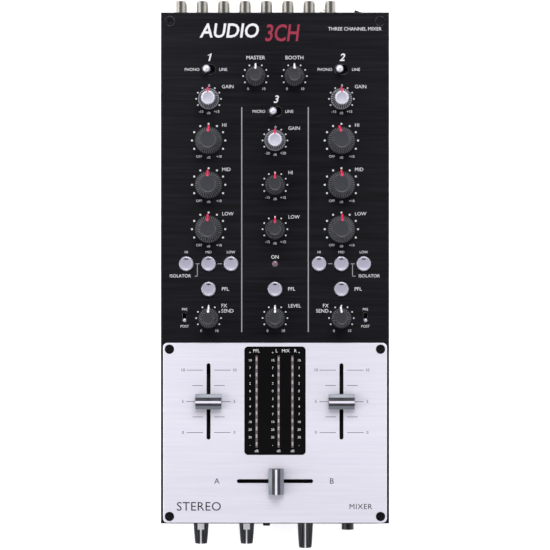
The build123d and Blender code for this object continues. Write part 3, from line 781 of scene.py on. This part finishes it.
# stands a side view upright, its own X along Y and its thickness along X
OUTWARDS = Matrix(((0, 0, 1, 0), (1, 0, 0, 0), (0, 1, 0, 0), (0, 0, 0, 1)))
JOINTS = {joint["child"]: joint for joint in frame["joints"]}
SIDE, FACE, POINTER, RIM, CROWN = range(5)


def knob_mesh(size, count, materials, gap=0.5, wall=2.5, lip=2):
    """A knob round its own Z, its pointer towards +Y. The crown is the top few rows of its body."""
    bm = bmesh.new()
    outline = knob_outline(size, gap, wall, count)
    slots = [SIDE] * (17 - lip) + [CROWN] * lip + [FACE] * 3
    slots[4:9] = [RIM] * 5
    add_turned(bm, outline, count * 8, slots=slots)
    add_raised(bm, pointer_outline(size, gap), size[5] * MM, OUTWARDS, 0.12 * MM, POINTER)
    return finished_mesh("knob", bm, materials, 38.0)


def set_knob(node, mesh, upright=True):
    """Stands a knob where its joint is, turned to where it points at rest."""
    joint = JOINTS[node]
    made = bpy.data.objects.new(f"{node}_moulding", mesh.copy())
    made.location = joint["pos_m"]
    if upright:
        made.rotation_euler = (0.0, 0.0, -math.radians(sum(joint["range_deg"]) / 2))
    else:
        made.rotation_euler = (math.radians(90), 0.0, 0.0)
    bpy.context.scene.collection.objects.link(made)
    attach(made, node)
    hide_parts(node)


pointer_red = coated("pointer_red", "E02C55", "EC3A62", 0.4, 2500.0, 0.08)
pointer_white = coated("pointer_white", "F6F6F8", "FCFCFD", 0.4, 2500.0, 0.08)
# Grey flutes: ridges painted light as highlights, grooves painted near black as shade.
grey_side = fluted("knob_grey_side", "08080A", "8C8D94", 36, 0.36)
grey_face = coated("knob_grey_face", "2A2B31", "33343A", 0.4, 3200.0, 0.12)
grey_rim = coated("knob_grey_rim", "1E2020", "282A2A", 0.4, 3200.0, 0.1, "5E6060", 0.5)
large_size = (9.6, 8.5, 6.6, 5.4, 15.0, 1.4)
large_mesh = knob_mesh(large_size, 36, [grey_side, grey_face, pointer_red, grey_rim, grey_face])
# Black flutes: ridges painted light as highlights, grooves painted near black as shade.
black_side = fluted("knob_black_side", "050506", "85838D", 28, 0.36)
black_face = coated("knob_black_face", "26272B", "2E2F33", 0.42, 3200.0, 0.12)
black_rim = coated("knob_black_rim", "141515", "1C1D1D", 0.4, 3200.0, 0.1, "5A5A62", 0.5)
# Front knob flutes: ridges painted lighter as highlights, grooves painted darker as shade.
front_side = fluted("knob_front_side", "1C1D20", "5E6066", 24, 0.4)
small_size = (7.2, 6.2, 5.0, 4.0, 14.0, 1.2)
small_red = knob_mesh(small_size, 28, [black_side, black_face, pointer_red, black_rim, black_face])
small_white = knob_mesh(small_size, 28, [black_side, black_face, pointer_white, black_rim, black_face])
# Silver flutes: ridges painted light as highlights, grooves painted near black as shade.
silver_side = fluted("knob_silver_side", "060608", "C6C6D2", 28, 0.35, 0.1)
silver_face = coated("knob_silver_face", "A4A4B2", "B2B2C0", 0.42, 4000.0, 0.06)
silver_rim = coated("knob_silver_rim", "84848F", "92929E", 0.32, 4000.0, 0.05, metallic=0.2)
gain_size = (7.3, 6.5, 5.1, 3.7, 14.0, 1.2)
# Silver crown flutes: ridges painted near white as highlights, grooves painted darker as shade.
silver_crown = fluted("knob_silver_crown", "C0C0CE", "F8F8FC", 28, 0.4)
gain_look = [silver_side, silver_face, pointer_red, silver_rim, silver_crown]
gain_mesh = knob_mesh(gain_size, 28, gain_look, lip=3)
for number in (1, 2):
    for band in ("high", "mid", "low"):
        set_knob(f"knob_{band}_{number}", large_mesh)
    set_knob(f"knob_send_{number}", small_white)
for number in (1, 2, 3):
    set_knob(f"knob_gain_{number}", gain_mesh)
for node in ("knob_high_3", "knob_low_3"):
    set_knob(node, small_red)
for node in ("knob_master", "knob_booth", "knob_level_3"):
    set_knob(node, small_white)
front_look = [front_side, black_face, pointer_white, black_rim, front_side]
phones_mesh = knob_mesh((5.6, 5.5, 4.4, 3.6, 17.0, 1.0), 24, front_look, 2.5, 1.2)
curve_mesh = knob_mesh((7.0, 5.6, 4.6, 3.8, 20.0, 1.0), 24, front_look, 2.5, 1.2)
bm = bmesh.new()
bm.from_mesh(phones_mesh)
add_block(bm, (-2.3 * MM, 4.4 * MM, 2.7 * MM), (2.3 * MM, 5.75 * MM, 9.2 * MM), 0.15 * MM, POINTER)
bm.to_mesh(phones_mesh)
bm.free()
set_knob("knob_phones_level", phones_mesh, upright=False)
set_knob("knob_phones_mix", phones_mesh, upright=False)
set_knob("knob_fader_curve", curve_mesh, upright=False)


# The push buttons: metallised caps with a bright turned rim, a shallow dished top and a dark crescent at the
# far side of the dish, a painted shadow of the rim. A flange under the panel keeps each one in, on the
# plunger of its switch.
button_satin = coated("button_satin", "B0AEC0", "BEBCCC", 0.34, 2200.0, 0.1, metallic=0.4)
button_rim = coated("button_rim", "C4C2D2", "D4D2E0", 0.25, 2200.0, 0.05, metallic=0.5)
# The dark gloss of the painted rim shadow.
rim_shadow_crescent = gloss("rim_shadow_crescent", "2A2830", 0.2)
bm = bmesh.new()
outline = [(0.0, -3.9), (5.8, -3.9), (5.8, -3.1), (4.9, -3.1), (4.9, 1.6), (4.75, 1.9)]
outline += [(4.5, 2.0), (4.1, 1.95), (3.6, 1.8), (2.0, 1.72), (0.0, 1.7)]
outline = [(r * MM, z * MM) for r, z in outline]
add_turned(bm, outline, 72, slots=[0, 0, 0, 1, 1, 1, 1, 1, 0, 0])
add_block(bm, (-1.5 * MM, -1.5 * MM, -5.0 * MM), (1.5 * MM, 1.5 * MM, -3.8 * MM), 0.1 * MM)
# Painted shadow: a thin dark crescent laid in the far side of the dish, where the rim shades it.
SHADOW_REACH = 3.75
turns = [step / 10 for step in range(-5, 6)]
arc = [(SHADOW_REACH * math.sin(t), SHADOW_REACH * math.cos(t)) for t in turns]
arc += [(x, y - 0.95 * math.cos(t * 3)) for (x, y), t in zip(arc[-2:0:-1], turns[-2:0:-1])]
shadow_place = Matrix.Translation((0.0, 0.0, 1.8 * MM))
add_raised(bm, [(x * MM, y * MM) for x, y in arc], 0.16 * MM, shadow_place, 0.0, 2)
button_mesh = finished_mesh("button", bm, (button_satin, button_rim, rim_shadow_crescent), 30.0)
buttons = [f"button_cue_{number}" for number in (1, 2, 3)]
buttons += [f"button_cut_{band}_{number}" for band in ("high", "mid", "low") for number in (1, 2)]
for node in buttons:
    low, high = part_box(node)
    made = bpy.data.objects.new(f"{node}_cap", button_mesh.copy())
    made.location = ((low.x + high.x) / 2, (low.y + high.y) / 2, panel_z)
    bpy.context.scene.collection.objects.link(made)
    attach(made, node)
    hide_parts(node)


# The levers: polished steel source toggles that tip from side to side, small nubs that slide, and a
# black sliding lever on the front. Each one comes out of a switch clamped under the metal.
polished = gloss("polished_steel", "D2D1DC", 0.2, metallic=0.6, smear=0.06)
black_plastic = coated("black_plastic", "121214", "1A1A1D", 0.4, 2600.0, 0.15, "3A3A3E", 0.4)
for number in (1, 2, 3):
    node = f"lever_source_{number}"
    joint = JOINTS[node]
    place = Matrix.Translation(joint["pos_m"]) @ Matrix.Rotation(math.radians(-6.7), 4, "Y")
    ball, reach, heel = 2.7 * MM, 12.0 * MM, 1.7 * MM
    outline = [(heel * math.sin(t * math.pi / 16), -heel * math.cos(t * math.pi / 16)) for t in range(8)]
    outline.append((1.5 * MM, 0.8 * MM))
    outline.append((1.1 * MM, reach - 2.4 * MM))
    angles = [math.pi - 0.42 - t * (math.pi - 0.42) / 20 for t in range(21)]
    outline += [(ball * math.sin(t), reach + ball * math.cos(t)) for t in angles[:-1]]
    outline.append((0.0, reach + ball))
    outline[0] = (0.0, -heel)
    bm = bmesh.new()
    add_turned(bm, outline, 40, place)
    toggle = piece(f"{node}_polished", bm, [polished], node)
    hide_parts(node)
for number in (1, 2):
    dress(f"lever_send_point_{number}", polished)
dress("lever_reverse", black_plastic)


# The fader caps: matt grey mouldings whose two hollow flanks meet in a narrow pale ridge, on a flat
# steel stem that goes down through the slot.
# Painted shade: the moulding is painted dark, as its hollow flanks look in shade.
cap_shaded_grey = coated("fader_cap_grey", "1C1E22", "26282D", 0.36, 3000.0, 0.16)
# The outer shelves: the cap's grey, lightened as a painted reflection of the pale plate.
shelf_grey_reflection = coated("fader_shelf_grey", "6C727D", "7C828D", 0.3, 3000.0, 0.1)
ridge_pale = coated("fader_ridge_pale", "D2CFDA", "DEDBE5", 0.42, 2600.0, 0.1)
steel_stem = coated("steel_stem", "8E8E94", "A2A2A8", 0.3, 3000.0, 0.1, metallic=1.0)
for node in ("fader_cap_1", "fader_cap_2", "crossfader_cap"):
    low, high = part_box(node)
    across = node == "crossfader_cap"
    long_way, short_way = (high.y - low.y, high.x - low.x) if across else (high.x - low.x, high.y - low.y)
    half = short_way / 2
    foot = plate_top + 2.0 * MM
    tall = high.z - foot
    ridge = 0.75 * MM
    shelf = 2.9 * MM
    flank = []
    for step in range(9):
        share = step / 8
        rise = (tall - 3.15 * MM) * (1 - share) ** 1.7
        flank.append((ridge + (shelf - ridge) * share, foot + 3.1 * MM + rise))
    flank += [((shelf + half) / 2, foot + 2.55 * MM), (half, foot + 2.1 * MM)]
    outline = [(-y, z) for y, z in flank[::-1]] + flank + [(half, foot), (-half, foot)]
    middle = Vector(((low.x + high.x) / 2, (low.y + high.y) / 2, 0.0))
    place = Matrix.Translation(middle) @ Matrix.Rotation(math.radians(90 if across else 0), 4, "Z") @ OUTWARDS
    bm = bmesh.new()
    add_raised(bm, outline, long_way, place, 0.25 * MM)
    back = place.inverted()
    # The outer shelves take the lighter grey, a painted reflection of the plate.
    for face in bm.faces:
        spot = back @ face.calc_center_median()
        if abs(spot.x) > shelf and spot.y > foot + 2.05 * MM:
            face.material_index = 3
    strip = [(-ridge, -0.7 * MM), (ridge, -0.7 * MM), (ridge, 0.0), (-ridge, 0.0)]
    strip = [(y, z + high.z) for y, z in strip]
    add_raised(bm, strip, long_way - 0.3 * MM, place, 0.15 * MM, 1)
    stem = [(-2.5 * MM, low.z), (2.5 * MM, low.z), (2.5 * MM, foot + 1 * MM), (-2.5 * MM, foot + 1 * MM)]
    add_raised(bm, stem, 1.2 * MM, place, 0.0, 2)
    cap = piece(f"{node}_moulding", bm, [cap_shaded_grey, ridge_pale, steel_stem, shelf_grey_reflection], node, 25.0)
    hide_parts(node)


# The power lamp: a small domed lens, unlit, pressed into the panel.
lens_mauve = gloss("lamp_lens_mauve", "6A5262", 0.2, coat=0.3)
low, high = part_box("power_lamp")
bm = bmesh.new()
outline = [(0.0, low.z), (2.0 * MM, low.z), (2.0 * MM, high.z - 0.7 * MM)]
dome = [step / 10 * 1.5 for step in range(1, 10)]
outline += [(2.0 * MM * math.cos(t), high.z - 0.7 * MM * (1 - math.sin(t))) for t in dome]
outline.append((0.0, high.z))
place = Matrix.Translation(((low.x + high.x) / 2, (low.y + high.y) / 2, 0.0))
add_turned(bm, outline, 40, place)
lamp = piece("power_lamp_lens", bm, [lens_mauve], "root")
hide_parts("power_lamp")


# The sockets: phono pairs in black mouldings with plated sleeves, white above red, and jack sockets
# with plated bushes and hexagonal nuts, three behind and the one for headphones in front.
rear_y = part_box("rear_wall")[1].y
front_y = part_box("front_wall")[0].y
REARWARDS = Matrix(((-1, 0, 0, 0), (0, 0, 1, 0), (0, 1, 0, 0), (0, 0, 0, 1)))


def out_of_rear(x, z):
    """A place on the rear wall, whose own Z points out of it. Millimetres, with heights from the floor."""
    return Matrix.Translation((panel_x + x * MM, rear_y, z * MM)) @ REARWARDS


def out_of_front(x, z):
    """A place on the front wall, whose own Z points out of it."""
    turn = Matrix(((1, 0, 0, 0), (0, 0, -1, 0), (0, 1, 0, 0), (0, 0, 0, 1)))
    return Matrix.Translation((panel_x + x * MM, front_y, z * MM)) @ turn


def scaled(rows):
    """An outline written in millimetres, brought to metres."""
    return [(tuple([r[0] * MM, r[1]]) if isinstance(r, tuple) else r * MM, z * MM) for r, z in rows]


def add_block_at(bm, place, low, high, bevel=0.0, slot=0):
    """Adds a bevelled block given in millimetres in a place's own axes."""
    wide, tall = high[0] - low[0], high[1] - low[1]
    corners = [(low[0], low[1]), (high[0], low[1]), (high[0], high[1]), (low[0], high[1])]
    middle = place @ Matrix.Translation((0.0, 0.0, (low[2] + high[2]) / 2 * MM))
    add_raised(bm, [(x * MM, y * MM) for x, y in corners], (high[2] - low[2]) * MM, middle, bevel * MM, slot)


nickel = gloss("nickel_plate", "B9B6AE", 0.18, metallic=1.0)
socket_white = coated("socket_white", "DCDAD2", "E6E4DE", 0.35, 2600.0, 0.05)
socket_red = coated("socket_red", "A61B1E", "B8262A", 0.35, 2600.0, 0.05)
PHONO_XS = [-66.0 + 15.0 * step for step in range(8)]
PHONO_Z = 48.0
bm = bmesh.new()
sleeve = [(0, -1.2), (4.15, -1.2), (4.15, 10.8), (4.0, 11.0), (3.6, 11.0), (3.5, 10.8), (3.5, 3.0), (0, 3.0)]
core = [(0, 2.9), (2.6, 2.9), (2.6, 9.2), (2.4, 9.4), (1.7, 9.4), (1.6, 9.2), (1.6, 3.1), (0, 3.1)]
for x in PHONO_XS:
    place = out_of_rear(x, PHONO_Z)
    add_block_at(bm, place, (-6.5, -14.0, 0.0), (6.5, 14.0, 2.0), 0.3)
    add_block_at(bm, place, (-6.0, -13.0, -11.2), (6.0, 13.0, -1.2), 0.2)
    for rise, slot in ((7.5, 2), (-7.5, 3)):
        seat = place @ Matrix.Translation((0.0, rise * MM, 0.0))
        add_turned(bm, scaled(sleeve), 48, seat, [1] * 7)
        add_turned(bm, scaled(core), 32, seat, [slot] * 7)
phonos = piece("phono_socket_pairs", bm, [black_plastic, nickel, socket_white, socket_red], "root")
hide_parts("phono_sockets")

JACK_XS = (-60.0, -36.0, -12.0)
JACK_Z = 22.3
EARTH_X = 36.0
FRONT_Z = 34.0
bm = bmesh.new()
for place, bush, rise, deep in (
    *[(out_of_rear(x, JACK_Z), 4.5, 3.0, 30.0) for x in JACK_XS],
    (out_of_front(51.6, FRONT_Z), 4.3, 9.8, 24.0),
):
    rows = [(0, -1.2 - deep), ((7.5, 4), -1.2 - deep), ((7.5, 4), -1.2), (bush, -1.2), (bush, rise - 0.3)]
    rows += [(bush - 0.3, rise), (3.4, rise), (3.2, rise - 0.2), (3.2, rise - 30.0), (0, rise - 30.0)]
    sleeve_slot = 1 if rise < 5.0 else 0
    add_turned(bm, scaled(rows), 48, place, [0, 0, 0, sleeve_slot, 1, 1, 1, 0, 0])
    nut = [(bush + 0.05, 0.0), ((6.5, 6), 0.0), ((6.5, 6), 1.7), ((6.2, 6), 2.0), (bush + 0.05, 2.0)]
    add_turned(bm, scaled(nut), 48, place, [sleeve_slot] * 5, closed=True)
jacks = piece("jack_socket_set", bm, [black_plastic, nickel], "root")
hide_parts("jack_sockets")


# The earth post: a plated stud with a knurled thumb nut, for the turntables' earth leads.
bm = bmesh.new()
rows = [(0, -6.0), (2.0, -6.0), (2.0, 0.0), (3.6, 0.0), (3.6, 1.5), (4.2, 1.5)]
knurl = [(4.5, 1.8), (4.5, 7.2)]
after = [(4.2, 7.5), (2.0, 7.5), (2.0, 8.8), (1.8, 9.0), (0, 9.0)]
outline = scaled(rows) + [(r * MM, z * MM, 0.25 * MM, 30) for r, z in knurl] + scaled(after)
add_turned(bm, outline, 240, out_of_rear(EARTH_X, JACK_Z))
post = piece("earth_post_plated", bm, [nickel], "root")
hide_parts("earth_post")


# The mains inlet and the switch above it: glossy black mouldings snapped into the rear wall, with
# three plated pins in the inlet and a rocker marked on both ends.
inlet_black = gloss("inlet_black", "0C0C0D", 0.28)
for node in ("mains_inlet", "rocker_frame", "power_rocker"):
    dress(node, inlet_black)
INLET_X = 62.0
bm = bmesh.new()
place = out_of_rear(INLET_X, 28.0)
for x, y in ((0.0, 0.0), (4.0, 7.0), (4.0, -7.0)):
    add_block_at(bm, place, (x - 1.05, y - 2.05, -14.4), (x + 1.05, y + 2.05, -2.9), 0.2)
pins = piece("inlet_pins", bm, [nickel], "root")
bm = bmesh.new()
rocker_turn = Matrix.Translation(JOINTS["power_rocker"]["pos_m"]) @ Matrix.Rotation(math.radians(-10), 4, "Z")
ROCKER_RISE, ROCKER_HALF, MARK_X = 1.2, 7.2, 4.4
slope = math.atan2(ROCKER_RISE, ROCKER_HALF)
lift = 3.4 + ROCKER_RISE * MARK_X / ROCKER_HALF
for side, bar in ((-1, True), (1, False)):
    spot = rocker_turn @ Matrix.Translation((side * MARK_X * MM, lift * MM, 0.0))
    spot = spot @ Matrix.Rotation(side * slope, 4, "Z") @ REARWARDS
    if bar:
        add_block_at(bm, spot, (-0.25, -2.0, -0.03), (0.25, 2.0, 0.04))
    else:
        loop = [(1.35, -0.03), (1.8, -0.03), (1.8, 0.04), (1.35, 0.04)]
        add_turned(bm, scaled(loop), 32, spot, closed=True)
marks = piece("rocker_marks", bm, [white_ink], "power_rocker")


# The legends of the two end walls, in the same white ink.
def add_wall_word(bm, name, place, y, cap):
    """One word on an end wall, above a place on it."""
    add_words(bm, [lettering(name, 0.0, y, cap)], place @ Matrix.Translation((0, 0, INK / 2)))


bm = bmesh.new()
groups = ("PHONO 1", "LINE 1", "PHONO 2", "LINE 2", "LINE 3", "SEND", "RETURN", "MASTER")
for x, name in zip(PHONO_XS, groups):
    add_wall_word(bm, name, out_of_rear(x, PHONO_Z), 16.3, 1.9)
for x, name in zip((*JACK_XS, EARTH_X), ("MIC", "BOOTH L", "BOOTH R", "EARTH")):
    add_wall_word(bm, name, out_of_rear(x, JACK_Z), 9.6, 1.9)
for x, name in ((-52.5, "PHONES"), (-20.1, "MIX"), (-4.0, "REV"), (21.5, "CURVE")):
    add_wall_word(bm, name, out_of_front(x, FRONT_Z), 10.6, 2.2)
wall_words = piece("wall_legends", bm, [white_ink], "root")


# What stands on the table and what is inside: rubber feet and their screws, the boards, the pots with
# their nuts, the switches, the fader cases and the power supply.
rubber = coated("foot_rubber", "161617", "1D1D1E", 0.8, 1800.0, 0.3)
zinc = coated("zinc_steel", "8A8B86", "9C9D98", 0.36, 1500.0, 0.12, metallic=1.0)
switch_grey = coated("switch_plastic", "1B1B1E", "232326", 0.5, 2600.0, 0.15)
supply_tan = coated("supply_parts", "3C3526", "4A4231", 0.5, 1200.0, 0.2)
dress("rubber_feet", rubber)
dress("tray_screws", zinc)
dress("circuit_boards", green_board)
dress("pot_bodies", zinc)
dress("pot_nuts", nickel)
dress("switch_bodies", switch_grey)
dress("fader_bodies", switch_grey)
dress("power_supply", supply_tan)
